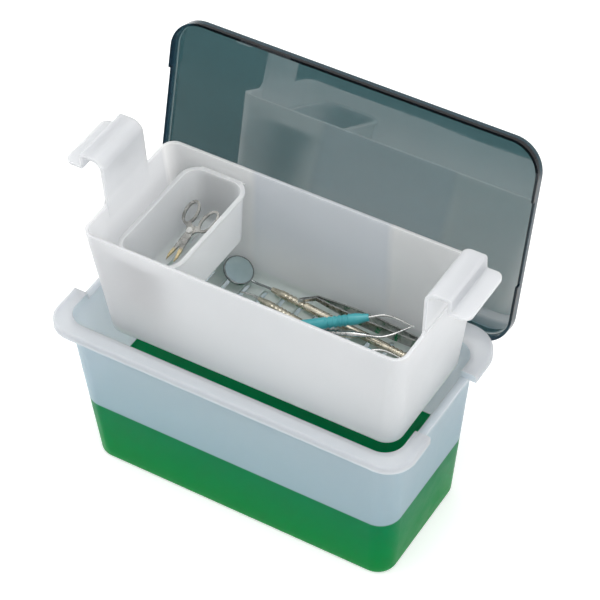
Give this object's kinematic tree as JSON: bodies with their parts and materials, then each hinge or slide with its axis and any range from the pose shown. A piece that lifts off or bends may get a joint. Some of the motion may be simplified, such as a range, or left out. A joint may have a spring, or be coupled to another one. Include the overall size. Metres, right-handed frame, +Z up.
{
  "type": "instrument soaking tub",
  "caption": "Soaking tub for hand instruments: drafted tub with green solution, lift-out basket with hook handles and a small hanging tray, and a hinged shallow lid.",
  "frame": {"origin": "centre of the tub's underside, on the surface it stands on", "axes": "+X along the tub, to the right seen from the front; +Y from front to back, towards the hinge; +Z up"},
  "size_m": [0.319, 0.2002, 0.2864],
  "materials": {
    "tub_plastic": "translucent, satin",
    "solution_green": "clear liquid",
    "basket_plastic": "milky, satin",
    "lid_smoke": "smoked, glossy",
    "steel": "satin",
    "gilt_steel": "satin, gold tone",
    "mirror": "mirror",
    "teal_grip": "satin"
  },
  "bodies": {
    "tub": {"tub": "tub_plastic", "solution": "solution_green", "hinge_pin_left": "steel", "hinge_pin_right": "steel"},
    "lid": {"lid": "lid_smoke"},
    "basket": {"basket": "basket_plastic", "mirror_handle": "steel", "mirror_cup": "steel", "mirror_glass": "mirror", "tweezers": "steel", "scaler_handle": "teal_grip", "scaler_near_tip": "steel", "scaler_far_tip": "steel", "explorer_handle": "steel", "explorer_near_tip": "steel", "explorer_far_tip": "steel", "excavator_handle": "teal_grip", "excavator_near_tip": "steel", "excavator_far_tip": "steel", "probe_handle": "steel", "probe_near_tip": "steel", "probe_far_tip": "steel"},
    "small_tray": {"small_tray": "basket_plastic", "scissors_lower_half": "gilt_steel", "scissors_screw": "steel"},
    "scissors_upper": {"scissors_upper_half": "gilt_steel"}
  },
  "joints": [
    {"name": "basket_lift", "type": "slide", "parent": "tub", "child": "basket", "axis": [-0.0741, -0.0255, -0.9969], "range_m": [0, 0.1296], "deforming": ["solution"]},
    {"name": "lid_hinge", "type": "hinge", "parent": "tub", "child": "lid", "pos_m": [0, 0.0783, 0.1406], "axis": [1, 0, 0], "range_deg": [0, 105.5]},
    {"name": "tray_lift", "type": "slide", "parent": "basket", "child": "small_tray", "axis": [0, 0, 1], "range_m": [0, 0.056]},
    {"name": "scissors_pivot", "type": "hinge", "parent": "small_tray", "child": "scissors_upper", "pos_m": [-0.0784, 0.0223, 0.18425], "axis": [0, -0.3714, 0.9285], "range_deg": [-15.5, 3]}
  ],
  "couplings": [
    {"joint": "lid_hinge", "follows": "basket_lift", "rad_per_m": 14.2}
  ]
}
